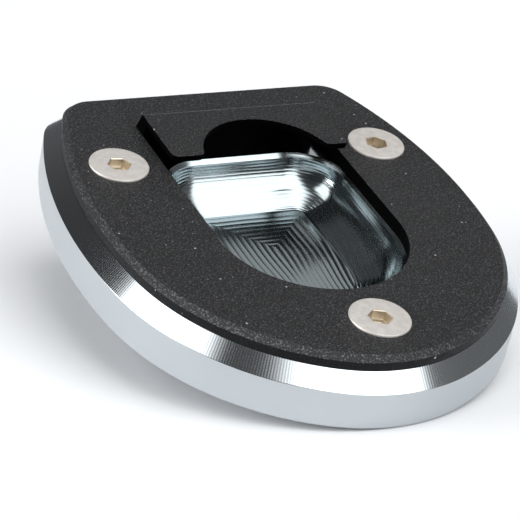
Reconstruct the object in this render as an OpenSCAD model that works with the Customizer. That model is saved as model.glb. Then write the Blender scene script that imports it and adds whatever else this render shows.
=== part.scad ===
// Kickstand foot enlarger: a wide milled base with a pocket for the stand's foot, and a top plate that
// holds the foot down, with a raised hood over the foot's heel and three countersunk screws.
// +Z is up, +Y points to the hood, and the origin is at the middle of the underside.
// Places along the part are measured from the plate's front end, and shift_y moves them to the origin.

/* [Foot pocket] */
// Width of the pocket in the base, which takes the stand's foot
pocket_w = 39; // [34:0.5:42]
// Length of the pocket from its round front end to its back wall
pocket_len = 49.4; // [44:0.2:55]
// Depth of the pocket below the base's flat top
pocket_depth = 8.3; // [6:0.1:9]
// Radius of the pocket's two back corners, seen from above
pocket_corner_r = 9.5; // [9:0.1:12]
// Radius of the ball-milled round between the pocket's walls and its floor
pocket_round_r = 8; // [4:0.1:8]
// Size of the bevel around the pocket's rim
pocket_edge = 0.8; // [0.3:0.1:1]

/* [Base] */
// Height of the base
base_h = 11; // [10:0.1:14]
// How far the base's side wall stands outside the plate
base_flare = 3.2; // [2:0.1:5]
// Height of the sloped band around the base's top
base_slope_h = 3; // [2:0.1:5]
// Size of the small bevel around the underside
base_edge = 0.5; // [0.2:0.1:1]

/* [Top plate] */
// Thickness of the top plate
plate_t = 3; // [2.6:0.1:4]
// Size of the bevel around the plate's top edge
plate_edge = 1.2; // [0.5:0.1:1.8]
// Gap between the pocket's side and the plate's opening above it
opening_clear = 0.2; // [0:0.1:1]
// Distance from the front screw to the plate's opening
opening_gap = 9.8; // [8:0.1:12]
// How far the pocket starts behind the opening's front end
pocket_setback = 1.2; // [0:0.1:3]
// Width of the plate beside the opening, at its widest place
side_land = 20.75; // [18:0.25:24]
// Length of the plate behind the hood
back_land = 11.9; // [8:0.1:16]

/* [Outline] */
// Distance from the plate's front end to its widest place
widest_y = 51.6; // [46:0.2:58]
// Radius of the plate's front end
front_r = 32.1; // [28:0.1:36]
// Radius of the two front shoulders
shoulder_r = 43.9; // [39:0.1:48]
// Radius of the two long sides
side_r = 96.7; // [88:0.1:108]
// Radius of the two back corners
corner_r = 7.1; // [4:0.1:10]

/* [Hood] */
// Height of the hood's top above the plate
hood_rise = 4; // [3:0.1:6]
// Thickness of the hood's roof
hood_roof_t = 1.4; // [1:0.1:2]
// Thickness of the hood's back wall at its top
hood_wall_t = 2; // [1.5:0.1:4]
// How far the back wall's foot stands behind its top
hood_slope = 2; // [0.5:0.1:4]
// How far the roof reaches forward from its back edge
hood_reach = 16; // [14:0.5:20]
// Room for the heel between the pocket's back wall and the hood's back wall
heel_room = 6.2; // [4:0.1:9]
// Radius of the roof's two front corners
hood_corner_r = 1.5; // [0.5:0.1:3]
// Radius on the roof's back edge
hood_crest_r = 0.6; // [0.2:0.1:1.2]
// Radius of the arch that clears the stand's leg
arch_r = 13.9; // [12:0.1:15]
// How deep the arch cuts into the roof from its front edge
arch_depth = 11.5; // [9:0.1:13]
// How far the arch stands to the right of the middle
arch_shift = 0.8; // [0:0.1:1.5]
// Radius of the two tips beside the arch
arch_tip_r = 1.6; // [0.6:0.1:2]

/* [Screws] */
// Diameter of the screws' thread
screw_d = 6; // [5:0.5:6]
// Diameter of the screws' countersunk head
head_d = 12; // [11:0.1:12.6]
// Length of a screw from the top of its head to its tip
screw_len = 10; // [8:0.5:12]
// How far a head stands above the plate
head_proud = 0.45; // [0.2:0.05:0.8]
// Bevel around the top of a head
head_bevel = 0.15; // [0.05:0.05:0.3]
// Hex socket, across its flats
socket_af = 4; // [3:0.5:4]
// Depth of the hex socket
socket_depth = 2; // [1.5:0.1:2.6]
// Distance from the plate's front end to the front screw
screw_front = 11.8; // [10:0.1:14]
// Distance from the plate's back edge to the back screws
screw_back = 25.5; // [22:0.1:28]
// Distance from the plate's widest place to the back screws
screw_side = 11.45; // [10:0.05:13]
// Radial gap between a screw and its hole in the plate
hole_clear = 0.2; // [0.1:0.05:0.4]
// Radial gap between a screw and its tapped hole in the base
thread_clear = 0.05; // [0.02:0.01:0.1]
// Room under a screw's tip in its blind hole
tip_room = 0.5; // [0.3:0.1:1]

/* [Hidden] */
$fa = 2;
$fs = 0.3;

// Places along the part, from the plate's front end
opening_y = screw_front + opening_gap;
pocket_y = opening_y + pocket_setback;
pocket_back_y = pocket_y + pocket_len;
hood_inner_y = pocket_back_y + heel_room;
hood_crest_y = hood_inner_y + hood_wall_t;
hood_foot_y = hood_crest_y + hood_slope;
hood_front_y = hood_crest_y - hood_reach;
plate_len = hood_foot_y + back_land;
shift_y = -plate_len / 2;

// Widths and heights
opening_w = pocket_w + 2 * opening_clear;
half_w = opening_w / 2 + side_land;
plate_top = base_h + plate_t;
hood_top = plate_top + hood_rise;
pocket_floor = base_h - pocket_depth;
// The round is no larger than the wall that it meets
round_r = min(pocket_round_r, pocket_depth, pocket_corner_r);
head_r = head_d / 2;
screw_r = screw_d / 2;
// The cuts run this far past the faces that they open
past = 1;
tip_lap = 0.01;

// Screw places: the front one, then the two at the back
screw_x = half_w - screw_side;
screw_places = [[0, screw_front], [-screw_x, plate_len - screw_back], [screw_x, plate_len - screw_back]];
// Each screw stopped at its own angle when it was tightened
socket_turns = [8, 22, 40];

// The plate's outline is a chain of arcs: front end, shoulders, long sides and back corners.
// Each arc is [centre, radius, first angle, last angle], and the left half mirrors the right one.
function heading(from, to) = atan2(to.y - from.y, to.x - from.x);
// Point at distance p from a and q from b, on the left of the line from b to a
function two_reach(a, p, b, q) =
    let (d = norm(b - a), u = (b - a) / d, along = (p * p - q * q + d * d) / (2 * d))
    a + along * u + sqrt(p * p - along * along) * [u.y, -u.x];
front_c = [0, front_r];
side_c = [half_w - side_r, widest_y];
shoulder_c = two_reach(front_c, shoulder_r - front_r, side_c, side_r - shoulder_r);
corner_y = plate_len - corner_r;
corner_c = [side_c.x + sqrt(pow(side_r - corner_r, 2) - pow(corner_y - side_c.y, 2)), corner_y];
front_end = heading(shoulder_c, front_c);
side_start = heading(side_c, shoulder_c);
side_end = heading(side_c, corner_c);
half_arcs = [
    [front_c, front_r, -90, front_end],
    [shoulder_c, shoulder_r, front_end, side_start],
    [side_c, side_r, side_start, side_end],
    [corner_c, corner_r, side_end, 90],
];
// Neighbours in the outline are parted by a seam, a line across the wall from a point inside it to one outside.
// A seam's two points are worked out once and used by both neighbours, so that their faces are the same.
seam_depth = corner_r / 2;
core_lap = seam_depth / 4;
seam_reach = 12;
function toward(a) = [cos(a), sin(a)];
function seam(arc, a) = [for (out = [-seam_depth, seam_reach]) arc[0] + (arc[1] + out) * toward(a)];
seams = concat(
    [seam(half_arcs[0], -90), seam(half_arcs[0], front_end), seam(half_arcs[1], side_start),
     seam(half_arcs[3], side_end), seam(half_arcs[3], 90)],
    [[for (out = [-seam_depth, seam_reach]) [0, plate_len + out]]]);

// Section of a body that ends at distance r with an edge: points from the lower face to the upper one,
// each [distance in from the wall, height]
module edge_section(r, inner, edge) {
    polygon(concat([[inner, edge[0].y]], [for (p = edge) [r - p.x, p.y]], [[inner, edge[len(edge) - 1].y]]));
}

// What lies between two seams, with the outer side far enough out at the middle
module between(k, middle, z0, z1) {
    translate([0, 0, z0 - past]) linear_extrude(z1 - z0 + 2 * past)
        polygon([seams[k][0], seams[k][1], middle, seams[k + 1][1], seams[k + 1][0]]);
}

// Moves to a centre in two steps, the second one for the digits that the first one has no room for
module at_centre(c) {
    coarse = [round(c.x * 100) / 100, round(c.y * 100) / 100];
    translate([coarse.x, coarse.y, 0]) translate([c.x - coarse.x, c.y - coarse.y, 0]) children();
}

// A solid on the plate's outline, grown outwards, with the given edge around it
module outline_solid(grow, edge) {
    z0 = edge[0].y;
    z1 = edge[len(edge) - 1].y;
    for (side = [0, 1]) mirror([side, 0, 0]) {
        for (k = [0:len(half_arcs) - 1]) {
            arc = half_arcs[k];
            half_turn = (arc[3] - arc[2]) / 2;
            intersection() {
                at_centre(arc[0]) rotate(180) rotate_extrude() edge_section(arc[1] + grow, 0, edge);
                between(k, arc[0] + (arc[1] + seam_reach) / cos(half_turn) * toward(arc[2] + half_turn), z0, z1);
            }
        }
        // Half of the straight back edge
        intersection() {
            rotate([90, 0, 90]) linear_extrude(half_w) edge_section(plate_len + grow, widest_y, edge);
            between(len(half_arcs), [corner_c.x / 2, plate_len + seam_reach], z0, z1);
        }
    }
    // The middle, which reaches into the ring
    inner = [for (s = seams) s[0] + core_lap * (s[1] - s[0]) / norm(s[1] - s[0])];
    translate([0, 0, z0]) linear_extrude(z1 - z0)
        polygon(concat(inner, [for (k = [len(inner) - 2:-1:1]) [-inner[k].x, inner[k].y]]));
}

// Half section of the pocket from its middle out to a wall at distance r, with the ball-milled round
// and the rim's bevel
module pocket_section(r) {
    f = round_r;
    rim_z = pocket_depth - pocket_edge;
    out = pocket_edge + past;
    polygon([[0, rim_z - past], [r - past, rim_z - past], [r + out, rim_z + out], [0, rim_z + out]]);
    translate([0, f]) square([r, pocket_depth + past - f]);
    square([r - f, f]);
    translate([r - f, f]) intersection() {
        circle(f);
        translate([0, -f]) square(f);
    }
}

// The space of the pocket: a round front end, a straight middle, two round corners and the back between
module pocket_space() {
    half = pocket_w / 2;
    front_mid_y = pocket_y + half;
    back_mid_y = pocket_back_y - pocket_corner_r;
    corner_x = half - pocket_corner_r;
    translate([0, 0, pocket_floor]) {
        translate([0, front_mid_y, 0]) rotate(180) rotate_extrude(angle = 180) pocket_section(half);
        translate([0, back_mid_y, 0]) rotate([90, 0, 0]) linear_extrude(back_mid_y - front_mid_y) {
            pocket_section(half);
            mirror([1, 0]) pocket_section(half);
        }
        for (side = [0, 1]) mirror([side, 0, 0])
            translate([corner_x, back_mid_y, 0]) rotate_extrude(angle = 90) pocket_section(pocket_corner_r);
        translate([-corner_x, back_mid_y, 0]) rotate([90, 0, 90])
            linear_extrude(2 * corner_x) pocket_section(pocket_corner_r);
    }
}

// A countersunk screw's shape, standing in its place with its head above the plate, gap wider below the seat
module screw_space(gap, tip_z) {
    seat_r = screw_r + gap;
    translate([0, 0, tip_z]) cylinder(r = seat_r, h = plate_top - tip_z - (head_r - seat_r));
    translate([0, 0, plate_top - (head_r - seat_r)]) cylinder(r1 = seat_r, r2 = head_r, h = head_r - seat_r);
    translate([0, 0, plate_top]) cylinder(r = head_r, h = past);
}

module at_screws() {
    for (place = screw_places) translate([place.x, place.y, 0]) children();
}

// Milled base with its sloped band, the pocket and three blind holes
module base() {
    tip_z = plate_top + head_proud - screw_len;
    color([0.78, 0.80, 0.82]) translate([0, shift_y, 0]) difference() {
        outline_solid(base_flare, [[base_edge, 0], [0, base_edge], [0, base_h - base_slope_h],
                                   [base_flare, base_h]]);
        pocket_space();
        at_screws() screw_space(thread_clear, tip_z - tip_room);
    }
}

// Outline of the opening in the plate, seen from above
module opening_shape() {
    half = opening_w / 2;
    translate([0, opening_y + half]) circle(half);
    translate([-half, opening_y + half]) square([opening_w, hood_inner_y - opening_y - half]);
}

// Outline of the hood, with round front corners
module hood_shape() {
    half = opening_w / 2;
    r = hood_corner_r;
    translate([-half, hood_front_y + r]) square([opening_w, hood_foot_y - hood_front_y - r]);
    translate([-half + r, hood_front_y]) square([opening_w - 2 * r, r]);
    for (side = [-1, 1]) translate([side * (half - r), hood_front_y + r]) circle(r);
}

// The arch seen from above, with a round tip on each side where it meets the roof's front edge
module arch_shape() {
    mid_y = arch_depth - arch_r;
    tip_x = sqrt(pow(arch_r + arch_tip_r, 2) - pow(arch_tip_r - mid_y, 2));
    translate([arch_shift, hood_front_y]) {
        translate([0, mid_y]) circle(arch_r);
        // The tips' circles cross the arch's by a hair, since circles that only touch leave no clean edge
        difference() {
            polygon([[0, mid_y], [-tip_x, arch_tip_r], [-tip_x, -past], [tip_x, -past], [tip_x, arch_tip_r]]);
            for (side = [-1, 1]) translate([side * tip_x, arch_tip_r]) circle(arch_tip_r + tip_lap);
        }
    }
}

// Side view of the hood: a thin roof, and a back wall that leans forward and stands on the plate
module hood_side() {
    lean = atan2(hood_rise, hood_slope);
    // The crest's round touches the roof and the leaning wall
    mid = [hood_crest_y - hood_crest_r * tan(lean / 2), hood_top - hood_crest_r];
    round_points = [for (k = [0:6]) let (a = 90 - lean * k / 6) mid + hood_crest_r * [cos(a), sin(a)]];
    polygon(concat(
        [[hood_front_y, hood_top - hood_roof_t], [hood_front_y, hood_top]],
        round_points,
        [[hood_foot_y, plate_top], [hood_foot_y, base_h + plate_t / 2], [hood_inner_y, base_h + plate_t / 2],
         [hood_inner_y, hood_top - hood_roof_t]]));
}

module hood() {
    difference() {
        intersection() {
            translate([0, 0, base_h]) linear_extrude(plate_t + hood_rise + past) hood_shape();
            translate([-opening_w / 2 - past, 0, 0]) rotate([90, 0, 90])
                linear_extrude(opening_w + 2 * past) hood_side();
        }
        translate([0, 0, plate_top]) linear_extrude(hood_rise + past) arch_shape();
    }
}

// Top plate with its opening, countersinks and hood, milled as one piece
module top_plate() {
    color([0.24, 0.24, 0.26]) translate([0, shift_y, 0]) {
        difference() {
            translate([0, 0, base_h])
                outline_solid(0, [[0, 0], [0, plate_t - plate_edge], [plate_edge, plate_t]]);
            translate([0, 0, base_h - past]) linear_extrude(plate_t + 2 * past) opening_shape();
            at_screws() screw_space(hole_clear, base_h - past);
        }
        hood();
    }
}

// One countersunk screw with a hex socket, standing on its tip at the origin
module countersunk_screw(turn) {
    cone_h = head_r - screw_r;
    shank_h = screw_len - head_proud - cone_h;
    difference() {
        rotate_extrude() polygon([
            [0, 0], [screw_r, 0], [screw_r, shank_h], [head_r, shank_h + cone_h],
            [head_r, screw_len - head_bevel], [head_r - head_bevel, screw_len], [0, screw_len]]);
        translate([0, 0, screw_len - socket_depth]) rotate(turn) {
            cylinder(d = socket_af / cos(30), h = socket_depth + past, $fn = 6);
            translate([0, 0, -socket_af / 4]) cylinder(r1 = 0, r2 = socket_af / 2, h = socket_af / 4);
        }
    }
}

module plate_screws() {
    color([0.83, 0.81, 0.79]) translate([0, shift_y, plate_top + head_proud - screw_len])
        for (k = [0:2]) translate([screw_places[k].x, screw_places[k].y, 0]) countersunk_screw(socket_turns[k]);
}

base();
top_plate();
plate_screws();
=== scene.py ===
import math
from functools import partial

import bmesh
import bpy
from bpy.props import FloatProperty, FloatVectorProperty, PointerProperty
from mathutils import Matrix, Vector


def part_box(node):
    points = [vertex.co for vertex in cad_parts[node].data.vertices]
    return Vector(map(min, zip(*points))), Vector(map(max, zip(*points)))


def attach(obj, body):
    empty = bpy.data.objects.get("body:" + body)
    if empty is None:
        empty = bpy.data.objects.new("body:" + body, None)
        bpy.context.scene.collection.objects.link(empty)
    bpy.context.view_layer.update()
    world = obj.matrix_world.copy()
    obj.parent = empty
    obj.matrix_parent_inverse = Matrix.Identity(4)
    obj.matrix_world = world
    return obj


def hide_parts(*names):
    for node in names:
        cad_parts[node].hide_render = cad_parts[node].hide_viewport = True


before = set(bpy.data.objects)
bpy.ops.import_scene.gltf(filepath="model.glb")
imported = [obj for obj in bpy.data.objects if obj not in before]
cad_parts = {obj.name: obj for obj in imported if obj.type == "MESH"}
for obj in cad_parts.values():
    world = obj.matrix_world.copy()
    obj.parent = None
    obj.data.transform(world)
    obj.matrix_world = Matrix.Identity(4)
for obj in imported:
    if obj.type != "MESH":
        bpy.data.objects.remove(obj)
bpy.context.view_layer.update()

MM = 0.001
# Heights this near to each other count as the same
NEAR = 0.01 * MM
# Points this near to each other are merged
DOUBLES = 0.002 * MM
# Room that a face's middle is given when its height or width is set against an edge's
BESIDE = 0.02 * MM
# The cutters run this far past the faces that they open
PAST = 1 * MM
# Steps in a full turn of a screw or a countersink
TURN_STEPS = 72

bl_info = {
    "name": "Kickstand foot enlarger",
    "version": (1, 0, 0),
    "blender": (4, 5, 0),
    "location": "View3D > Sidebar > Foot",
    "description": "Builds the milled base, the black top plate and the screws of a kickstand foot enlarger",
    "category": "Object",
}


def length(name, description, default):
    """A size in metres, given in millimetres."""
    return FloatProperty(name=name, description=description, default=default * MM, min=0.0, unit="LENGTH",
                         precision=5)


def brightness(name, description, default):
    """The strength of a light, where 1 renders a white surface white."""
    return FloatProperty(name=name, description=description, default=default, min=0.0)


def linear(hex_code):
    """The linear colour of an sRGB hex value."""
    values = [int(hex_code[k:k + 2], 16) / 255 for k in (1, 3, 5)]
    return tuple(v / 12.92 if v <= 0.04045 else ((v + 0.055) / 1.055) ** 2.4 for v in values)


def colour(name, description, hex_code):
    """A colour, given as an sRGB hex value and kept linear."""
    return FloatVectorProperty(name=name, description=description, subtype="COLOR", size=3, min=0.0, max=1.0,
                               default=linear(hex_code))


class FootOutlineSizes(bpy.types.PropertyGroup):
    """The chain of arcs around the top plate."""
    plate_len: length("Plate length", "Length of the top plate", 94.3)
    half_w: length("Half width", "Half the width of the top plate", 40.45)
    widest_y: length("Widest place", "Distance from the plate's front end to its widest place", 51.6)
    front_r: length("Front radius", "Radius of the front end", 32.1)
    shoulder_r: length("Shoulder radius", "Radius of the two front shoulders", 43.9)
    side_r: length("Side radius", "Radius of the two long sides", 96.7)
    corner_r: length("Corner radius", "Radius of the two back corners", 7.1)


class FootBaseSizes(bpy.types.PropertyGroup):
    """The milled base and its pocket."""
    height: length("Height", "Height of the base", 11)
    flare: length("Flare", "How far the side wall stands outside the plate", 3.2)
    slope_h: length("Slope height", "Height of the sloped band", 3)
    foot_edge: length("Underside bevel", "Bevel around the underside", 0.5)
    crisp: length("Crisp edge", "Tiny bevel that a deburred edge has", 0.1)
    pocket_w: length("Pocket width", "Width of the pocket", 39)
    pocket_y: length("Pocket start", "Distance from the plate's front end to the pocket", 22.8)
    pocket_back_y: length("Pocket end", "Distance from the plate's front end to the pocket's back wall", 72.2)
    pocket_floor: length("Pocket floor", "Height of the pocket's floor", 2.7)
    pocket_corner_r: length("Pocket corner", "Radius of the pocket's back corners", 9.5)
    pocket_round_r: length("Pocket round", "Radius of the round around the floor", 8)
    rim_edge: length("Rim bevel", "Bevel around the pocket's rim", 0.8)
    mitre_y: length("Mitre", "How far behind the middle the milling paths meet on the pocket's floor", 4.95)


class FootPlateSizes(bpy.types.PropertyGroup):
    """The black top plate and its hood."""
    thickness: length("Thickness", "Thickness of the plate", 3)
    edge: length("Edge bevel", "Bevel around the top edge", 1.2)
    top_round: length("Top rounding", "Small rounding of the bevel's two edges", 0.15)
    foot_round: length("Underside rounding", "Small rounding of the underside's edge", 0.2)
    opening_y: length("Opening start", "Distance from the plate's front end to the opening", 21.6)
    opening_w: length("Opening width", "Width of the opening", 39.4)
    hood_front_y: length("Hood front", "Distance from the plate's front end to the hood's front edge", 64.4)
    hood_inner_y: length("Hood wall", "Distance from the plate's front end to the hood's back wall", 78.4)
    hood_crest_y: length("Hood crest", "Distance from the plate's front end to the roof's back edge", 80.4)
    hood_foot_y: length("Hood foot", "Distance from the plate's front end to the back wall's foot", 82.4)
    hood_rise: length("Hood rise", "Height of the hood above the plate", 4)
    roof_t: length("Roof thickness", "Thickness of the hood's roof", 1.4)
    hood_corner_r: length("Hood corner", "Radius of the roof's front corners", 1.5)
    crest_r: length("Crest radius", "Round on the roof's back edge", 0.6)
    arch_r: length("Arch radius", "Radius of the arch", 13.9)
    arch_depth: length("Arch depth", "How deep the arch cuts into the roof", 11.5)
    arch_shift: length("Arch shift", "How far the arch stands to the right", 0.8)
    arch_tip_r: length("Tip radius", "Radius of the two tips beside the arch", 1.6)


class FootScrewSizes(bpy.types.PropertyGroup):
    """The three countersunk screws."""
    head_r: length("Head radius", "Radius of the head", 6)
    shank_r: length("Shank radius", "Radius of the threaded shank", 3)
    proud: length("Proud", "How far a head stands above the plate", 0.45)
    full_length: length("Length", "Length of a screw", 10)
    socket_af: length("Socket", "Hex socket across its flats", 4)
    socket_depth: length("Socket depth", "Depth of the hex socket", 2)
    socket_edge: length("Socket bevel", "Bevel around the hex socket", 0.22)
    front_y: length("Front screw", "Distance from the plate's front end to the front screw", 11.8)
    back_y: length("Back screws", "Distance from the plate's front end to the back screws", 68.8)
    side_x: length("Side screws", "Distance from the middle to a back screw", 29)


class FootFinishes(bpy.types.PropertyGroup):
    """Colours of the finishes."""
    wall: colour("Side wall", "Silver anodised side wall", "#C6CBCE")
    bevel: colour("Bevel", "Bright cut bevel", "#DFE5E9")
    pocket: colour("Pocket", "Milled pocket", "#AFB9BC")
    plate: colour("Top plate", "Black coat of the plate", "#111113")
    grit: colour("Grit", "Light grains in the black coat", "#B4B5B9")
    screw: colour("Screws", "Satin nickel on the screws", "#E9E4DF")
    socket: colour("Sockets", "Bare steel in the sockets", "#E2D8C8")


class FootStage(bpy.types.PropertyGroup):
    """Light and floor."""
    front_box: brightness("Front softbox", "Brightness of the softbox overhead", 2.3)
    left_box: brightness("Left softbox", "Brightness of the softbox at the left", 2.3)
    back_box: brightness("Back softbox", "Brightness of the softbox at the back", 0.33)
    side_light: brightness("Side light", "Brightness of the low light at the left", 10.0)
    room: brightness("Room", "Brightness of the room", 0.14)
    floor_up: FloatVectorProperty(name="Floor upwards", size=3, subtype="DIRECTION",
                                  description="Upward direction of the floor under the leaning part",
                                  default=(-0.016, 0.24, 0.971))
    floor: colour("Floor", "Colour of the floor", "#F2F3F5")
    lens: FloatProperty(name="Lens", description="Focal length of the camera in millimetres", default=163.65,
                        min=1.0)


def turned(a, distance):
    """The way to a point at an angle and a distance."""
    return Vector((math.cos(a), math.sin(a))) * distance


def bearing(a, b):
    """The angle at which b is seen from a."""
    return math.atan2(b.y - a.y, b.x - a.x)


class Outline:
    """Centres and angles of the arcs, in the part's frame, from the outline sizes."""

    def __init__(self, o):
        self.shift = -o.plate_len / 2
        front = Vector((0, o.front_r))
        side = Vector((o.half_w - o.side_r, o.widest_y))
        p = o.shoulder_r - o.front_r
        q = o.side_r - o.shoulder_r
        # The shoulder's centre is p from the front's centre and q from the side's
        line = front - side
        d = line.length
        u = line / d
        along = (p * p - q * q + d * d) / (2 * d)
        shoulder = front - u * along
        shoulder += Vector((-u.y, u.x)) * math.sqrt(p * p - along * along)
        corner_y = o.plate_len - o.corner_r
        reach = math.sqrt((o.side_r - o.corner_r) ** 2 - (corner_y - side.y) ** 2)
        corner = Vector((side.x + reach, corner_y))
        down = Vector((0, self.shift))
        ends = [-math.pi / 2, bearing(shoulder, front), bearing(side, shoulder), bearing(side, corner),
                math.pi / 2]
        centres = [front, shoulder, side, corner]
        radii = [o.front_r, o.shoulder_r, o.side_r, o.corner_r]
        self.arcs = [(centres[k] + down, radii[k], ends[k], ends[k + 1]) for k in range(4)]
        self.back = o.plate_len + self.shift


def clear_selection():
    """Leaves edit mode and deselects everything."""
    if bpy.context.object and bpy.context.object.mode != "OBJECT":
        bpy.ops.object.mode_set(mode="OBJECT")
    bpy.ops.object.select_all(action="DESELECT")


def begin(name, point):
    """A new mesh of one point, left in edit mode with the point selected."""
    clear_selection()
    bpy.ops.mesh.primitive_plane_add(size=MM, location=(0, 0, 0))
    piece = bpy.context.object
    piece.name = name
    piece.data.name = name
    bpy.ops.object.mode_set(mode="EDIT")
    bpy.ops.mesh.select_mode(type="VERT")
    bpy.ops.mesh.select_all(action="SELECT")
    bpy.ops.mesh.merge(type="CENTER")
    bpy.ops.transform.translate(value=point)
    return piece


def arc_to(centre, angle, height, steps):
    """Carries the chain of points on around a centre, by an angle seen from above. Spin counts backwards."""
    bpy.ops.mesh.spin(steps=steps, dupli=False, angle=-angle, center=(centre[0], centre[1], height),
                      axis=(0, 0, 1))


def line_to(dx, dy, dz=0.0):
    """Carries the chain of points on by a straight line."""
    bpy.ops.mesh.extrude_vertices_move(TRANSFORM_OT_translate={"value": (dx, dy, dz)})


def close_face():
    """Fills the closed chain of points with one face."""
    bpy.ops.mesh.select_all(action="SELECT")
    bpy.ops.mesh.remove_doubles(threshold=NEAR)
    bpy.ops.mesh.edge_face_add()


def pick(kind, test):
    """Selects the faces, edges or points of the edited mesh that pass a test."""
    mode = {"faces": "FACE", "edges": "EDGE", "verts": "VERT"}[kind]
    bpy.ops.mesh.select_mode(type=mode)
    bpy.ops.mesh.select_all(action="DESELECT")
    mesh = bpy.context.object.data
    bm = bmesh.from_edit_mesh(mesh)
    bm.normal_update()
    for item in getattr(bm, kind):
        if test(item):
            item.select_set(True)
    bm.select_flush_mode()
    bmesh.update_edit_mesh(mesh)


def level(edge, z):
    """True for an edge that lies at a height."""
    return all(abs(v.co.z - z) < NEAR for v in edge.verts)


def ring_steps(radius, angle):
    """Steps for an arc, so that each step is about half a millimetre long and at most 5 degrees."""
    return max(4, round(abs(angle) * radius / (0.55 * MM)), math.ceil(abs(angle) / math.radians(5)))


def plan_outline(name, outline, grow, z):
    """The plate's outline, grown outwards, as one face at a height."""
    centre, radius, start, end = outline.arcs[0]
    first = centre + turned(start, radius + grow)
    piece = begin(name, (first.x, first.y, z))
    for centre, radius, start, end in outline.arcs:
        arc_to(centre, end - start, z, ring_steps(radius + grow, end - start))
    corner = outline.arcs[-1][0]
    line_to(-2 * corner.x, 0)
    for centre, radius, start, end in reversed(outline.arcs):
        arc_to((-centre.x, centre.y), end - start, z, ring_steps(radius + grow, end - start))
    close_face()
    return piece


def raise_face(height):
    """Extrudes the selected face upwards, or downwards where the height is negative."""
    bpy.ops.mesh.extrude_region_move(TRANSFORM_OT_translate={"value": (0, 0, height)})


def top_of(z):
    """Turns all faces outwards and selects the level face at a height."""
    bpy.ops.mesh.select_all(action="SELECT")
    bpy.ops.mesh.normals_make_consistent(inside=False)
    pick("faces", lambda f: abs(f.normal.z) > 0.9 and abs(f.calc_center_median().z - z) < NEAR)


def tidy_normals():
    """Merges doubles, turns all faces outwards and leaves edit mode."""
    bpy.ops.mesh.select_all(action="SELECT")
    bpy.ops.mesh.remove_doubles(threshold=DOUBLES)
    bpy.ops.mesh.normals_make_consistent(inside=False)
    bpy.ops.object.mode_set(mode="OBJECT")


def combine(piece, other, operation):
    """Adds another closed mesh to a piece or cuts it out, and removes the other one."""
    clear_selection()
    bpy.context.view_layer.objects.active = piece
    piece.select_set(True)
    bpy.ops.object.modifier_add(type="BOOLEAN")
    change = piece.modifiers[-1]
    change.operation = operation
    change.solver = "EXACT"
    change.object = other
    bpy.ops.object.modifier_apply(modifier=change.name)
    bpy.data.objects.remove(other)


def turn_profile(centre):
    """Turns the chain of points once around an upright line, and closes the hole that it leaves."""
    bpy.ops.mesh.select_all(action="SELECT")
    arc_to(centre, 2 * math.pi, 0, TURN_STEPS)
    bpy.ops.mesh.select_all(action="SELECT")
    bpy.ops.mesh.remove_doubles(threshold=DOUBLES)
    pick("edges", lambda e: e.is_boundary)
    bpy.ops.mesh.edge_face_add()
    tidy_normals()


def soften(piece, width, angle):
    """A small round on every edge that turns by more than an angle in degrees."""
    clear_selection()
    bpy.context.view_layer.objects.active = piece
    piece.select_set(True)
    bpy.ops.object.modifier_add(type="BEVEL")
    bevel = piece.modifiers[-1]
    bevel.width = width
    bevel.segments = 2
    bevel.limit_method = "ANGLE"
    bevel.angle_limit = math.radians(angle)
    bpy.ops.object.modifier_apply(modifier=bevel.name)


def finish_mesh(piece, node):
    """Smooth shading with flat faces kept flat, inside the CAD node's box, riding on the root body."""
    clear_selection()
    bpy.context.view_layer.objects.active = piece
    piece.select_set(True)
    low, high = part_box(node)
    for v in piece.data.vertices:
        for k in range(3):
            v.co[k] = min(max(v.co[k], low[k]), high[k])
    bpy.ops.object.shade_smooth_by_angle(angle=math.radians(30))
    bpy.ops.object.modifier_add(type="WEIGHTED_NORMAL")
    piece.modifiers[-1].keep_sharp = True
    piece.modifiers[-1].mode = "FACE_AREA"
    bpy.ops.object.modifier_apply(modifier=piece.modifiers[-1].name)
    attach(piece, "root")
    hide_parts(node)


def give_materials(piece, materials, choose):
    """Puts the materials in the piece's slots, and gives each face the one that choose names for it."""
    piece.data.materials.clear()
    for material in materials:
        piece.data.materials.append(material)
    for face in piece.data.polygons:
        face.material_index = choose(face)


SOFT = {"interpolation_type": "SMOOTHSTEP"}
COLOURS = {"data_type": "RGBA"}


def fill_inputs(node, inputs):
    """Links each input to a socket or sets it to a value, in a tuple's order or by a dictionary's keys."""
    for key, value in inputs.items() if isinstance(inputs, dict) else enumerate(inputs):
        if isinstance(value, bpy.types.NodeSocket):
            node.id_data.links.new(value, node.inputs[key])
        else:
            node.inputs[key].default_value = value


def add_node(tree, kind, inputs=(), output=0, **settings):
    """Adds a node with its settings and inputs, and gives one of its outputs."""
    node = tree.nodes.new("ShaderNode" + kind)
    for name, value in settings.items():
        setattr(node, name, value)
    fill_inputs(node, inputs)
    return node.outputs[output]


def new_material(name):
    """A material, its shader, the place on the piece and the function that adds its nodes."""
    material = bpy.data.materials.new(name)
    material.use_nodes = True
    tree = material.node_tree
    add = partial(add_node, tree)
    return material, tree.nodes["Principled BSDF"], add("TexCoord", (), "Object"), add


def rgba(value, times=1.0):
    """A colour with its alpha, made lighter or darker by a factor."""
    return (value[0] * times, value[1] * times, value[2] * times, 1.0)


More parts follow.
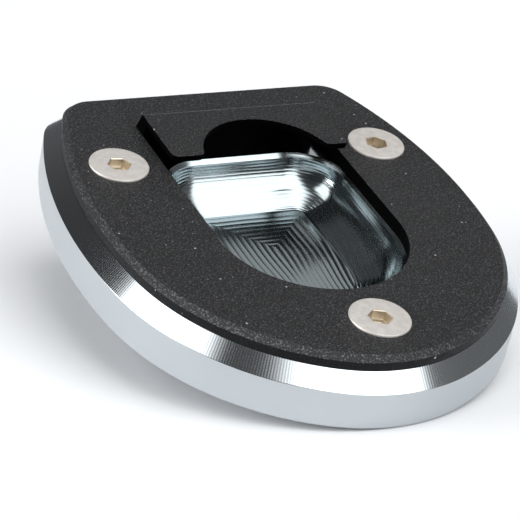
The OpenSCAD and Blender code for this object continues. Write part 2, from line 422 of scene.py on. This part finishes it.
def anodised_wall(finishes):
    """Bead-blasted, silver anodised aluminium: an even pale blue-grey, with a fine dull grain."""
    material, shader, place, add = new_material("silver_anodised_aluminium_blasted")
    # The beads' pits are about 0.05 mm wide, too fine to show, and are drawn three times as coarse
    grain = add("TexNoise", {"Vector": place, "Scale": 1 / (0.16 * MM), "Detail": 3.0})
    patches = add("TexNoise", {"Vector": place, "Scale": 1 / (9 * MM)})
    share = add("Math", (patches, 0.6), operation="MULTIPLY")
    tones = {0: share, 6: rgba(finishes.wall), 7: rgba(finishes.wall, 0.93)}
    fill_inputs(shader, {
        "Base Color": add("Mix", tones, 2, **COLOURS),
        "Metallic": 1.0,
        "Roughness": add("MapRange", (grain, 0.2, 0.8, 0.36, 0.46), **SOFT),
        "Normal": add("Bump", {"Height": grain, "Distance": 0.004 * MM}),
    })
    return material


def cut_bevel(finishes):
    """Bright cut aluminium: mirror-like along the band, with the cutter's fine streaks across it."""
    material, shader, place, add = new_material("bright_cut_aluminium")
    x, y, z = add("SeparateXYZ", (place,)).node.outputs
    # Distance around the part, roughly, from the direction seen from its middle
    run = add("Math", (add("Math", (x, y), operation="ARCTAN2"), 45 * MM), operation="MULTIPLY")
    band = add("CombineXYZ", (run,))
    # The cutter leaves a mark about every 0.2 mm, too fine to show, and the marks are drawn 0.5 mm apart
    turn = add("Math", (run, 2 * math.pi / (0.5 * MM)), operation="MULTIPLY")
    comb = add("Math", (add("Math", (turn,), operation="SINE"), 1.0), operation="ADD")
    comb = add("Math", (comb, 0.25), operation="MULTIPLY")
    uneven = add("TexNoise", {"Vector": band, "Scale": 1 / (0.4 * MM), "Detail": 1.0})
    uneven = add("Math", (uneven, 0.5), operation="MULTIPLY")
    streaks = add("Math", (comb, uneven), operation="ADD")
    wide = add("TexNoise", {"Vector": band, "Scale": 1 / (2.2 * MM), "Detail": 1.0})
    scratch = add("TexNoise", {"Vector": place, "Scale": 1 / (0.3 * MM)})
    low = add("Bump", {"Height": wide, "Distance": 0.006 * MM})
    middle = add("Bump", {"Height": streaks, "Distance": 0.0035 * MM, "Normal": low})
    tones = {0: streaks, 6: rgba(finishes.bevel, 0.9), 7: rgba(finishes.bevel)}
    fill_inputs(shader, {
        "Base Color": add("Mix", tones, 2, **COLOURS),
        "Metallic": 1.0,
        "Roughness": add("MapRange", (streaks, 0.3, 0.7, 0.1, 0.16), **SOFT),
        "Normal": add("Bump", {"Height": scratch, "Distance": 0.00005 * MM, "Normal": middle}),
    })
    return material


def faced_top(finishes):
    """Face-milled aluminium: nearly a mirror, with the face mill's faint arcs."""
    material, shader, place, add = new_material("face_milled_aluminium")
    x, y, z = add("SeparateXYZ", (place,)).node.outputs
    # The arcs have their centre 60 mm in front of the middle, and are 0.4 mm apart
    far = add("Math", (y, 60 * MM), operation="ADD")
    far = add("Math", (far, far), operation="MULTIPLY")
    aside = add("Math", (x, x), operation="MULTIPLY")
    reach = add("Math", (add("Math", (far, aside), operation="ADD"),), operation="SQRT")
    turn = add("Math", (reach, 2 * math.pi / (0.4 * MM)), operation="MULTIPLY")
    arcs = add("Math", (turn,), operation="SINE")
    patches = add("TexNoise", {"Vector": place, "Scale": 1 / (1.5 * MM)})
    tones = {0: patches, 6: rgba(finishes.bevel, 0.85), 7: rgba(finishes.bevel)}
    fill_inputs(shader, {
        "Base Color": add("Mix", tones, 2, **COLOURS),
        "Metallic": 1.0,
        "Roughness": add("MapRange", (patches, 0.3, 0.7, 0.08, 0.14), **SOFT),
        "Normal": add("Bump", {"Height": arcs, "Distance": 0.0006 * MM}),
    })
    return material


def milled_pocket(finishes, floor_z, round_r, mitre_y):
    """Ball-milled aluminium: the cutter's paths stand as fine bright ridges, mitred on the floor and level on
    the walls."""
    material, shader, place, add = new_material("ball_milled_aluminium")
    x, y, z = add("SeparateXYZ", (place,)).node.outputs
    aside = add("Math", (x,), operation="ABSOLUTE")
    # The paths bend inwards towards the round front end
    ahead = add("MapRange", (y, -26 * MM, 8 * MM, 1.35, 1.0), **SOFT)
    across = add("Math", (aside, ahead), operation="MULTIPLY")
    behind = add("Math", (y, mitre_y), operation="SUBTRACT")
    path = add("Math", (across, behind), operation="MAXIMUM")
    sway = add("TexNoise", {"Vector": place, "Scale": 1 / (14 * MM), "Detail": 1.0})
    sway = add("Math", (sway, 0.5), operation="SUBTRACT")
    sway = add("Math", (sway, 1.1 * MM), operation="MULTIPLY")
    path = add("Math", (path, sway), operation="ADD")
    # Climb is the angle along the walls' round, from 0 at the floor to a right angle at the round's top
    raised = add("Math", (z, floor_z), operation="SUBTRACT")
    raised = add("Math", (raised, round_r), operation="DIVIDE")
    fallen = add("Math", (1.0, raised), operation="SUBTRACT", use_clamp=True)
    climb = add("Math", (fallen,), operation="ARCCOSINE")
    # Ridges 1.3 mm apart on the floor, and 0.85 mm apart along the round of the walls
    floor_paths = add("Math", (path, 1.3 * MM), operation="DIVIDE")
    wall_paths = add("Math", (climb, round_r / (0.85 * MM)), operation="MULTIPLY")
    cups = []
    for paths in (floor_paths, wall_paths):
        phase = add("Math", (paths,), operation="FRACT")
        off = add("Math", (phase, 0.5), operation="SUBTRACT")
        square = add("Math", (off, off), operation="MULTIPLY")
        cups.append(add("Math", (square, 4.0), operation="MULTIPLY"))
    on_wall = add("MapRange", (z, floor_z + 0.02 * MM, floor_z + 0.3 * MM, 0.0, 1.0), **SOFT)
    on_floor = add("Math", (1.0, on_wall), operation="SUBTRACT")
    # The floor's ridges are lower behind the mitre
    fade = add("MapRange", (behind, -3 * MM, 6 * MM, 1.0, 0.5), **SOFT)
    low_ridges = add("Math", (cups[0], fade), operation="MULTIPLY")
    low_ridges = add("Math", (low_ridges, on_floor), operation="MULTIPLY")
    relief = add("Bump", {"Height": low_ridges, "Distance": 0.036 * MM})
    # The walls' ridges are lower on the two sides, and higher up on the round
    beside = add("MapRange", (aside, 14 * MM, 18.5 * MM, 1.0, 0.3), **SOFT)
    above = add("MapRange", (climb, 0.9, 1.15, 0.6, 1.6), **SOFT)
    high_ridges = add("Math", (cups[1], above), operation="MULTIPLY")
    high_ridges = add("Math", (high_ridges, beside), operation="MULTIPLY")
    high_ridges = add("Math", (high_ridges, on_wall), operation="MULTIPLY")
    relief = add("Bump", {"Height": high_ridges, "Distance": 0.016 * MM, "Normal": relief})
    # The wall's foot catches the light as if it left the floor at foot_climb, in radians, up to where the
    # round itself is as steep
    foot_climb = 0.66
    foot = add("Math", (climb, 0.03), operation="MAXIMUM")
    foot = add("Math", (foot, foot_climb), operation="MINIMUM")
    fall = add("Math", (foot, 0.5), operation="MULTIPLY")
    fall = add("Math", (foot_climb, fall), operation="SUBTRACT")
    foot = add("Math", (foot, fall), operation="MULTIPLY")
    foot = add("Math", (foot, round_r / MM), operation="MULTIPLY")
    relief = add("Bump", {"Height": foot, "Distance": 1 * MM, "Normal": relief})
    # The cutter's own scratches are too fine to show, and are drawn 0.3 mm wide
    grain = add("TexNoise", {"Vector": place, "Scale": 1 / (0.3 * MM)})
    # Painted shade: the colour is a little darker along the ridges, where neighbouring paths meet
    shade = add("MapRange", (cups[0], 0.3, 1.0, 1.0, 0.8), **SOFT)
    tones = {0: shade, 6: rgba(finishes.pocket, 0.6), 7: rgba(finishes.pocket)}
    fill_inputs(shader, {
        "Base Color": add("Mix", tones, 2, **COLOURS),
        "Metallic": 1.0,
        "Roughness": add("MapRange", (grain, 0.3, 0.7, 0.13, 0.19), **SOFT),
        "Normal": add("Bump", {"Height": grain, "Distance": 0.0001 * MM, "Normal": relief}),
    })
    return material


def specks(add, place, spacing, empty):
    """Small light grains about spacing apart, but for the share of places that stays empty."""
    cells = add("TexVoronoi", {"Vector": place, "Scale": 1 / spacing}).node.outputs
    drawn = add("SeparateColor", (cells["Color"],))
    chosen = add("Math", (drawn, empty), operation="GREATER_THAN")
    near = add("MapRange", (cells["Distance"], 0.05, 0.09, 1.0, 0.0), **SOFT)
    return add("Math", (near, chosen), operation="MULTIPLY")


def black_coat(name, finishes, grit, relief, rough, sheen=1.0):
    """Black anodised coat on a blasted surface: near black with a fine leathery grain and light grains in it.
    Grit is the strength of the light grains, rough the least roughness, and sheen how many times lighter the
    coat is painted than its own black, a painted highlight above 1 and painted shade below 1; half of it, up
    to
    1, is also the specular level. Relief is the bump's height in millimetres, more than the real grain's, so
    that it shows."""
    material, shader, place, add = new_material(name)
    # The blasting's own grain is about 0.1 mm, too fine to show, and is drawn at 0.6 and 0.34 mm
    grain = add("TexNoise", {"Vector": place, "Scale": 1 / (0.6 * MM), "Detail": 3.0, "Roughness": 0.6})
    fine = add("TexNoise", {"Vector": place, "Scale": 1 / (0.34 * MM), "Detail": 1.0, "Roughness": 0.6})
    # A sheen above 1 paints a highlight into the coat's colour, and one below 1 paints shade
    tint = rgba(finishes.plate, sheen)
    if grit:
        worn = add("MapRange", (fine, 0.52, 0.7, 0.0, grit), **SOFT)
        tint = add("Mix", {0: worn, 6: tint, 7: rgba(finishes.grit, 0.5)}, 2, **COLOURS)
        for spacing, empty in ((1.7 * MM, 0.8), (3.1 * MM, 0.6)):
            spots = specks(add, place, spacing, empty)
            tint = add("Mix", {0: spots, 6: tint, 7: rgba(finishes.grit)}, 2, **COLOURS)
    coarse = add("Bump", {"Height": grain, "Distance": relief * MM})
    fill_inputs(shader, {
        "Base Color": tint,
        "Specular IOR Level": min(0.5 * sheen, 1.0),
        "Roughness": add("MapRange", (grain, 0.3, 0.7, rough, rough + 0.12), **SOFT),
        "Normal": add("Bump", {"Height": fine, "Distance": 0.4 * relief * MM, "Normal": coarse}),
    })
    return material


def screw_metal(name, tone, rough):
    """Satin nickel-plated or bare steel: warm light grey, and a little mottled."""
    material, shader, place, add = new_material(name)
    mottle = add("TexNoise", {"Vector": place, "Scale": 1 / (1.6 * MM), "Detail": 3.0})
    share = add("MapRange", (mottle, 0.35, 0.7, 0.0, 1.0), **SOFT)
    # The plating's grain is too fine to show, and is drawn at 0.14 mm
    grain = add("TexNoise", {"Vector": place, "Scale": 1 / (0.14 * MM)})
    tones = {0: share, 6: rgba(tone, 0.9), 7: rgba(tone)}
    fill_inputs(shader, {
        "Base Color": add("Mix", tones, 2, **COLOURS),
        "Metallic": 1.0,
        "Roughness": add("MapRange", (grain, 0.3, 0.7, rough, rough + 0.1), **SOFT),
        "Normal": add("Bump", {"Height": grain, "Distance": 0.003 * MM}),
    })
    return material


def screw_places(scene):
    """Where the front screw and the two back ones stand, seen from above."""
    s = scene.foot_screws
    shift = -scene.foot_outline.plate_len / 2
    back_y = s.back_y + shift
    return [Vector((0, s.front_y + shift)), Vector((-s.side_x, back_y)), Vector((s.side_x, back_y))]


class FOOT_OT_base(bpy.types.Operator):
    """Mills the base: a body on the outline with a sloped band, and the ball-milled pocket"""
    bl_idname = "foot.base"
    bl_label = "Milled base"

    def execute(self, context):
        scene = context.scene
        s = scene.foot_base
        outline = Outline(scene.foot_outline)
        base = plan_outline("milled_base", outline, s.flare, s.foot_edge)
        raise_face(s.height - s.slope_h - s.foot_edge)
        top_of(s.height - s.slope_h)
        bpy.ops.mesh.inset(thickness=s.flare, depth=s.slope_h, use_even_offset=True)
        pick("faces", lambda f: abs(f.calc_center_median().z - s.foot_edge) < NEAR)
        bpy.ops.mesh.inset(thickness=s.foot_edge, depth=s.foot_edge, use_even_offset=True)
        pick("edges", lambda e: level(e, s.height - s.slope_h))
        bpy.ops.mesh.bevel(offset=s.crisp, segments=2, affect="EDGES")
        tidy_normals()
        combine(base, self.pocket_cutter(s, outline), "DIFFERENCE")
        # Blind holes, a little wider than the shanks
        bore_clear = 0.05 * MM
        bore_floor = 4 * MM
        for place in screw_places(scene):
            clear_selection()
            middle = (place.x, place.y, s.height / 2 + bore_floor)
            bpy.ops.mesh.primitive_cylinder_add(vertices=48, radius=scene.foot_screws.shank_r + bore_clear,
                                                depth=s.height, location=middle)
            combine(base, bpy.context.object, "DIFFERENCE")
        finishes = scene.foot_finishes
        materials = [
            anodised_wall(finishes),
            cut_bevel(finishes),
            milled_pocket(finishes, s.pocket_floor, s.pocket_round_r, s.mitre_y),
            faced_top(finishes),
        ]
        wall, bevel, pocket, top = range(4)
        margin = 1 * MM
        half = s.pocket_w / 2 + margin
        front = s.pocket_y + outline.shift - margin
        back = s.pocket_back_y + outline.shift + margin

        def choose(face):
            c = face.center
            if abs(c.x) < half and front < c.y < back and c.z > margin:
                return pocket if c.z < s.height - 0.001 * MM else top
            if s.height - s.slope_h - BESIDE < c.z < s.height - BESIDE and 0.1 < face.normal.z < 0.99:
                return bevel
            return top if c.z > s.height - BESIDE else wall

        give_materials(base, materials, choose)
        finish_mesh(base, "base")
        return {"FINISHED"}

    def pocket_cutter(self, s, outline):
        """The pocket's space: its plan, drawn down and then closed step by step around the ball's round."""
        half = s.pocket_w / 2
        shrink = s.rim_edge + PAST
        top = s.height + PAST
        front_y = s.pocket_y + outline.shift + half
        back_y = s.pocket_back_y + outline.shift - s.pocket_corner_r
        corner_x = half - s.pocket_corner_r
        corner_steps = 24
        cutter = begin("pocket_cutter", (half + shrink, front_y, top))
        line_to(0, back_y - front_y)
        arc_to((corner_x, back_y), math.pi / 2, top, corner_steps)
        line_to(-2 * corner_x, 0)
        arc_to((-corner_x, back_y), math.pi / 2, top, corner_steps)
        line_to(0, front_y - back_y)
        arc_to((0, front_y), math.pi, top, ring_steps(half + shrink, math.pi))
        close_face()
        pick("faces", lambda f: True)
        # The extrusion leaves a lid on top, and its own hair-thin wall is merged away at the end
        lid = 0.001 * MM
        raise_face(-lid)
        bpy.ops.mesh.inset(thickness=lid / 10, depth=0.0)
        # The rim's bevel, at 45 degrees through the base's top face
        bevel_steps = 2
        for k in range(bevel_steps):
            bpy.ops.mesh.inset(thickness=shrink / bevel_steps, depth=0.0, use_even_offset=True)
            bpy.ops.transform.translate(value=(0, 0, -shrink / bevel_steps))
        # The ball's round runs up into the bevel, and the walls start where the two meet
        above = s.pocket_floor + s.pocket_round_r - (top - lid - shrink)
        met = math.asin(above / s.pocket_round_r)
        rounds = 20
        reached = 0.0
        for k in range(rounds):
            a0 = met + (math.pi / 2 - met) * k / rounds
            a1 = met + (math.pi / 2 - met) * (k + 1) / rounds
            inwards = s.pocket_round_r * (math.cos(reached) - math.cos(a1))
            down = s.pocket_round_r * (math.sin(a1) - math.sin(a0))
            bpy.ops.mesh.inset(thickness=inwards, depth=0.0, use_even_offset=True)
            bpy.ops.transform.translate(value=(0, 0, -down))
            reached = a1
        tidy_normals()
        return cutter


class FOOT_OT_plate(bpy.types.Operator):
    """Makes the black top plate with its opening, countersinks and hood"""
    bl_idname = "foot.plate"
    bl_label = "Top plate"

    def execute(self, context):
        scene = context.scene
        s = scene.foot_plate
        base_h = scene.foot_base.height
        outline = Outline(scene.foot_outline)
        top = base_h + s.thickness
        plate = plan_outline("top_plate_black", outline, 0, base_h)
        raise_face(s.thickness - s.edge)
        top_of(top - s.edge)
        bpy.ops.mesh.inset(thickness=s.edge, depth=s.edge, use_even_offset=True)
        pick("edges", lambda e: level(e, top) or level(e, top - s.edge))
        bpy.ops.mesh.bevel(offset=s.top_round, segments=2, affect="EDGES")
        pick("edges", lambda e: level(e, base_h))
        bpy.ops.mesh.bevel(offset=s.foot_round, segments=2, affect="EDGES")
        tidy_normals()
        combine(plate, self.opening_cutter(s, outline, base_h), "DIFFERENCE")
        screws = scene.foot_screws
        for place in screw_places(scene):
            combine(plate, countersink(screws, place, base_h, top), "DIFFERENCE")
        combine(plate, self.hood(s, outline, top), "UNION")
        finishes = scene.foot_finishes
        materials = [
            black_coat("black_anodised_blasted_top", finishes, 0.42, relief=0.9, rough=0.48),
            black_coat("black_anodised_blasted_bevel", finishes, 0.48, relief=0.3, rough=0.45),
            # Painted shade: the plate's side wall is drawn at 0.35 of the coat's black, darker than the top,
            # and its specular level is lowered with it
            black_coat("black_anodised_smooth_wall", finishes, 0.05, relief=0.012, rough=0.42, sheen=0.35),
            # Painted shade: the faces in and around the opening that don't face up, the hood's undersides
            # among them, are drawn at a twentieth of the coat's black, with next to no specular
            black_coat("black_anodised_inside_cuts", finishes, 0.0, relief=0.05, rough=0.7, sheen=0.05),
            # Painted highlight: the crest's coat is drawn fifty times lighter than its black, a light line
            # along the roof's back edge
            black_coat("black_anodised_worn_crest", finishes, 0.6, relief=0.03, rough=0.3, sheen=50.0),
        ]
        blasted, edge, wall, cuts, crest = range(5)
        opening_y = s.opening_y + outline.shift
        crest_y = s.hood_crest_y + outline.shift
        plate_end = 40 * MM

        def choose(face):
            c = face.center
            inside = abs(c.x) < s.opening_w / 2 + BESIDE and c.y > opening_y - 1 * MM and abs(c.y) < plate_end
            # The faces in and around the opening that don't face up get the painted shade
            if inside and face.normal.z < 0.3:
                return cuts
            # The faces of the roof's rounded back edge get the painted highlight
            on_crest = abs(c.y - crest_y) < 1 * MM and c.z > top + s.hood_rise - 1 * MM
            if on_crest and 0.48 < face.normal.z < 0.99:
                return crest
            if c.z > top - BESIDE:
                return blasted
            if 0.2 < face.normal.z < 0.99 and c.z > top - s.edge - 0.05 * MM:
                return edge
            return wall if abs(face.normal.z) < 0.5 else blasted

        give_materials(plate, materials, choose)
        finish_mesh(plate, "top_plate")
        return {"FINISHED"}

    def opening_cutter(self, s, outline, base_h):
        """The opening's space: a round front end, straight sides and a straight back."""
        half = s.opening_w / 2
        low = base_h - PAST
        front_y = s.opening_y + outline.shift + half
        back_y = s.hood_inner_y + outline.shift
        cutter = begin("opening_cutter", (half, front_y, low))
        line_to(0, back_y - front_y)
        line_to(-2 * half, 0)
        line_to(0, front_y - back_y)
        arc_to((0, front_y), math.pi, low, ring_steps(half, math.pi))
        close_face()
        pick("faces", lambda f: True)
        raise_face(s.thickness + 2 * PAST)
        tidy_normals()
        return cutter

    def hood(self, s, outline, top):
        """The roof from its plan, with the arch between two round tips, and the leaning back wall."""
        half = s.opening_w / 2
        front = s.hood_front_y + outline.shift
        inner = s.hood_inner_y + outline.shift
        crest = s.hood_crest_y + outline.shift
        foot = s.hood_foot_y + outline.shift
        roof_z = top + s.hood_rise - s.roof_t
        c = s.hood_corner_r
        t = s.arch_tip_r
        mid_y = s.arch_depth - s.arch_r
        tip_x = math.sqrt((s.arch_r + t) ** 2 - (t - mid_y) ** 2)
        tip_turn = math.atan2(t - mid_y, tip_x)
        corner_steps, tip_steps, arch_steps = 8, 10, 48
        # The roof ends inside the back wall
        back = crest - 0.8 * MM
        roof = begin("hood", (half, back, roof_z))
        line_to(0, front + c - back)
        arc_to((half - c, front + c), -math.pi / 2, roof_z, corner_steps)
        line_to(s.arch_shift + tip_x - (half - c), 0)
        arc_to((s.arch_shift + tip_x, front + t), tip_turn - math.pi / 2, roof_z, tip_steps)
        arc_to((s.arch_shift, front + mid_y), math.pi - 2 * tip_turn, roof_z, arch_steps)
        arc_to((s.arch_shift - tip_x, front + t), tip_turn - math.pi / 2, roof_z, tip_steps)
        line_to(-half + c - (s.arch_shift - tip_x), 0)
        arc_to((-half + c, front + c), -math.pi / 2, roof_z, corner_steps)
        line_to(0, back - (front + c))
        close_face()
        pick("faces", lambda f: True)
        raise_face(s.roof_t)
        tidy_normals()
        soften(roof, 0.12 * MM, 40)
        # The back wall's section, from 1 mm below the plate's top, carried across the hood
        sunk = 1 * MM
        wall = begin("hood_wall", (-half, inner, top - sunk))
        line_to(0, 0, sunk + s.hood_rise)
        line_to(0, crest - inner)
        line_to(0, foot - crest, -s.hood_rise)
        line_to(0, 0, -sunk)
        close_face()
        pick("faces", lambda f: True)
        bpy.ops.mesh.extrude_region_move(TRANSFORM_OT_translate={"value": (2 * half, 0, 0)})
        pick("edges", lambda e: all(abs(v.co.y - crest) < NEAR for v in e.verts))
        half_lean = math.atan2(s.hood_rise, foot - crest) / 2
        bpy.ops.mesh.bevel(offset=s.crest_r * math.tan(half_lean), segments=5, affect="EDGES")
        tidy_normals()
        combine(roof, wall, "UNION")
        return roof


def countersink(screws, place, base_h, top):
    """A hole with its cone, a little wider than the head at the surface."""
    hole_r = screws.shank_r + 0.2 * MM
    head_r = screws.head_r + 0.12 * MM
    cone = head_r - hole_r
    cutter = begin("countersink", (place.x + hole_r, place.y, base_h - PAST))
    line_to(0, 0, top - base_h + PAST - cone)
    line_to(cone, 0, cone)
    line_to(0, 0, PAST)
    line_to(-head_r, 0, 0)
    turn_profile(place)
    return cutter


class FOOT_OT_screws(bpy.types.Operator):
    """Turns one countersunk screw, broaches its hex socket and copies it to the three holes"""
    bl_idname = "foot.screws"
    bl_label = "Countersunk screws"

    def execute(self, context):
        scene = context.scene
        s = scene.foot_screws
        top = scene.foot_base.height + scene.foot_plate.thickness + s.proud
        first = self.turned_screw(s, top)
        finishes = scene.foot_finishes
        materials = [screw_metal("satin_nickel_on_steel", finishes.screw, 0.6),
                     screw_metal("bare_steel_socket", finishes.socket, 0.3)]
        head, socket = range(2)
        socket_reach = s.socket_af / 2 * 1.17
        socket_low = top - 4 * MM

        def choose(face):
            c = face.center
            inside = math.hypot(c.x, c.y) < socket_reach and socket_low < c.z < top - BESIDE
            return socket if inside else head

        give_materials(first, materials, choose)
        # Each screw stopped at its own angle when it was tightened
        turns = (8, 22, 40)
        for k, place in enumerate(screw_places(scene)):
            clear_selection()
            screw = first.copy()
            screw.data = first.data.copy()
            screw.name = f"countersunk_screw_{k + 1}"
            context.collection.objects.link(screw)
            turn = Matrix.Rotation(math.radians(turns[k]), 4, "Z")
            screw.data.transform(Matrix.Translation((place.x, place.y, 0)) @ turn)
            finish_mesh(screw, "plate_screws")
        bpy.data.objects.remove(first)
        return {"FINISHED"}

    def turned_screw(self, s, top):
        """The screw's profile, turned around its middle, with the broached socket cut into the head."""
        tip = top - s.full_length
        tip_bevel = 0.4 * MM
        cone = s.head_r - s.shank_r
        rim = 0.25 * MM
        screw = begin("countersunk_screw", (0, 0, tip))
        line_to(s.shank_r - tip_bevel, 0, 0)
        line_to(tip_bevel, 0, tip_bevel)
        line_to(0, 0, top - s.proud - cone - tip - tip_bevel)
        line_to(cone, 0, cone)
        # The head's rim, rounded in two steps
        line_to(0, 0, s.proud - rim)
        line_to(-0.35 * rim, 0, 0.65 * rim)
        line_to(-0.65 * rim, 0, 0.35 * rim)
        line_to(-(s.head_r - rim) * 0.5, 0, 0)
        turn_profile((0, 0))
        clear_selection()
        depth = s.socket_depth + PAST
        bpy.ops.mesh.primitive_cylinder_add(vertices=6, radius=s.socket_af / math.sqrt(3), depth=depth,
                                            location=(0, 0, top - s.socket_depth + depth / 2))
        hexagon = bpy.context.object
        bpy.ops.object.transform_apply(location=True, rotation=True, scale=True)
        bpy.ops.object.mode_set(mode="EDIT")
        pick("faces", lambda f: f.normal.z < -0.9)
        # A small land that the broach leaves, and the drill's hole under it
        bpy.ops.mesh.inset(thickness=0.25 * MM, depth=0.0)
        bpy.ops.mesh.subdivide(number_cuts=2)
        bpy.ops.mesh.inset(thickness=0.1 * MM, depth=0.0)
        bpy.ops.transform.translate(value=(0, 0, -0.35 * MM))
        tidy_normals()
        combine(screw, hexagon, "DIFFERENCE")
        bpy.ops.object.mode_set(mode="EDIT")
        mouth = s.socket_af * 0.65
        pick("edges", lambda e: level(e, top) and all(math.hypot(v.co.x, v.co.y) < mouth for v in e.verts))
        bpy.ops.mesh.bevel(offset=s.socket_edge, segments=2, affect="EDGES")
        bpy.ops.object.mode_set(mode="OBJECT")
        return screw


class FOOT_OT_stage(bpy.types.Operator):
    """Sets the camera, the white floor and the soft studio light"""
    bl_idname = "foot.stage"
    bl_label = "Stage"

    def execute(self, context):
        scene = context.scene
        self.camera(scene)
        self.floor(scene)
        self.world(scene)
        scene.view_settings.view_transform = "Standard"
        return {"FINISHED"}

    def camera(self, scene):
        """The camera at the photograph's place, from the fit to the three screw heads."""
        lens = bpy.data.cameras.new("camera")
        lens.lens = scene.foot_stage.lens
        lens.sensor_width = 36
        camera = bpy.data.objects.new("camera", lens)
        right = Vector((0.88893527, -0.41969627, 0.18343697))
        down = Vector((-0.09523228, -0.56109099, -0.82225769))
        forward = Vector((0.44802332, 0.71346474, -0.53874221))
        turn = Matrix((right, -down, -forward)).transposed().to_4x4()
        camera.matrix_world = Matrix.Translation((-0.21365, -0.33063, 0.25333)) @ turn
        lens.clip_start = 0.01
        lens.clip_end = 50
        scene.collection.objects.link(camera)
        scene.camera = camera

    def floor(self, scene):
        """A matt white floor that touches the base's lowest point, while the part leans over it."""
        clear_selection()
        up = Vector(scene.foot_stage.floor_up).normalized()
        depth = min(up.dot(v.co) for v in bpy.data.objects["milled_base"].data.vertices)
        bpy.ops.mesh.primitive_circle_add(vertices=96, radius=6, fill_type="NGON", location=up * depth,
                                          rotation=up.to_track_quat("Z", "Y").to_euler())
        floor = bpy.context.object
        floor.name = "floor"
        bpy.ops.object.transform_apply(location=True, rotation=True, scale=True)
        material = bpy.data.materials.new("matt_white_floor")
        material.use_nodes = True
        nodes = material.node_tree.nodes
        nodes.remove(nodes["Principled BSDF"])
        paint = add_node(material.node_tree, "BsdfDiffuse", {"Color": rgba(scene.foot_stage.floor)})
        fill_inputs(nodes["Material Output"], {"Surface": paint})
        floor.data.materials.append(material)

    def world(self, scene):
        """A dim room with three softboxes and a low light at the left. A softbox is placed by u and v, the
        place where its light comes through a ceiling one unit up."""
        stage = scene.foot_stage
        world = bpy.data.worlds.new("studio")
        scene.world = world
        world.use_nodes = True
        add = partial(add_node, world.node_tree)
        x, y, z = add("SeparateXYZ", (add("TexCoord", (), "Generated"),)).node.outputs
        up = add("Math", (z, 0.02), operation="MAXIMUM")
        u = add("Math", (x, up), operation="DIVIDE")
        v = add("Math", (y, up), operation="DIVIDE")

        def window(*edges):
            """A window's light. Each edge is a value, where the light has faded out, and where it is full."""
            light = 1.0
            for value, dark, full in edges:
                ends = (1.0, 0.0) if dark > full else (0.0, 1.0)
                step = add("MapRange", (value, min(dark, full), max(dark, full), *ends), **SOFT)
                light = add("Math", (light, step), operation="MULTIPLY")
            return light

        slant = add("Math", (v, 0.35), operation="MULTIPLY")
        slant = add("Math", (u, slant), operation="ADD")
        front = window((u, -0.48, -0.20), (slant, 0.88, 0.5), (v, 0.55, 0.28), (v, -3.6, -3.0))
        left = window((u, -0.68, -0.82), (u, -2.6, -2.0), (v, -0.28, -0.08), (v, 1.08, 0.84))
        back = window((u, 0.2, 0.5), (u, 2.4, 2.0), (v, 0.6, 0.7), (v, 2.4, 2.0))
        # The side light also reaches under the leaning part
        side = window((x, -0.4, -0.7), (y, -0.15, 0.15), (y, 0.62, 0.46), (z, 0.4, 0.28), (z, -0.1, 0.06))
        # The room is darker at the left and lighter overhead
        room = add("Math", (add("MapRange", (x, -0.6, 0.2, 0.25, 1.0), **SOFT),
                            add("MapRange", (z, 0.4, 0.85, 1.0, 1.6), **SOFT)), operation="MULTIPLY")
        # The pale surroundings low down, in front and at the left
        low = add("MapRange", (z, -0.02, 0.22, 0.9, 0.0), **SOFT)
        for value, full, dark in ((x, 0.3, 0.7), (y, 0.3, 0.6)):
            fade = add("MapRange", (value, full, dark, 1.0, 0.0), **SOFT)
            low = add("Math", (low, fade), operation="MULTIPLY")
        total = low
        for light, strength in ((room, stage.room), (side, stage.side_light), (front, stage.front_box),
                                (left, stage.left_box), (back, stage.back_box)):
            light = add("Math", (light, strength), operation="MULTIPLY")
            total = add("Math", (total, light), operation="ADD")
        fill_inputs(world.node_tree.nodes["Background"], {"Color": (0.985, 0.995, 1.0, 1), "Strength": total})


class FOOT_PT_panel(bpy.types.Panel):
    """Lists the pieces and the stage"""
    bl_idname = "FOOT_PT_panel"
    bl_label = "Kickstand foot enlarger"
    bl_space_type = "VIEW_3D"
    bl_region_type = "UI"
    bl_category = "Foot"

    def draw(self, context):
        for operator in OPERATORS:
            self.layout.operator(operator.bl_idname)


OPERATORS = (FOOT_OT_base, FOOT_OT_plate, FOOT_OT_screws, FOOT_OT_stage)
GROUPS = {
    "foot_outline": FootOutlineSizes,
    "foot_base": FootBaseSizes,
    "foot_plate": FootPlateSizes,
    "foot_screws": FootScrewSizes,
    "foot_finishes": FootFinishes,
    "foot_stage": FootStage,
}
CLASSES = (*GROUPS.values(), *OPERATORS, FOOT_PT_panel)


def register():
    """Registers the classes and hangs the sizes and colours on the scene."""
    for item in CLASSES:
        bpy.utils.register_class(item)
    for name, group in GROUPS.items():
        setattr(bpy.types.Scene, name, PointerProperty(type=group))


def unregister():
    for name in GROUPS:
        delattr(bpy.types.Scene, name)
    for item in reversed(CLASSES):
        bpy.utils.unregister_class(item)


def main():
    """Builds the pieces and the stage."""
    register()
    bpy.ops.foot.base()
    bpy.ops.foot.plate()
    bpy.ops.foot.screws()
    bpy.ops.foot.stage()


if __name__ == "__main__":
    main()
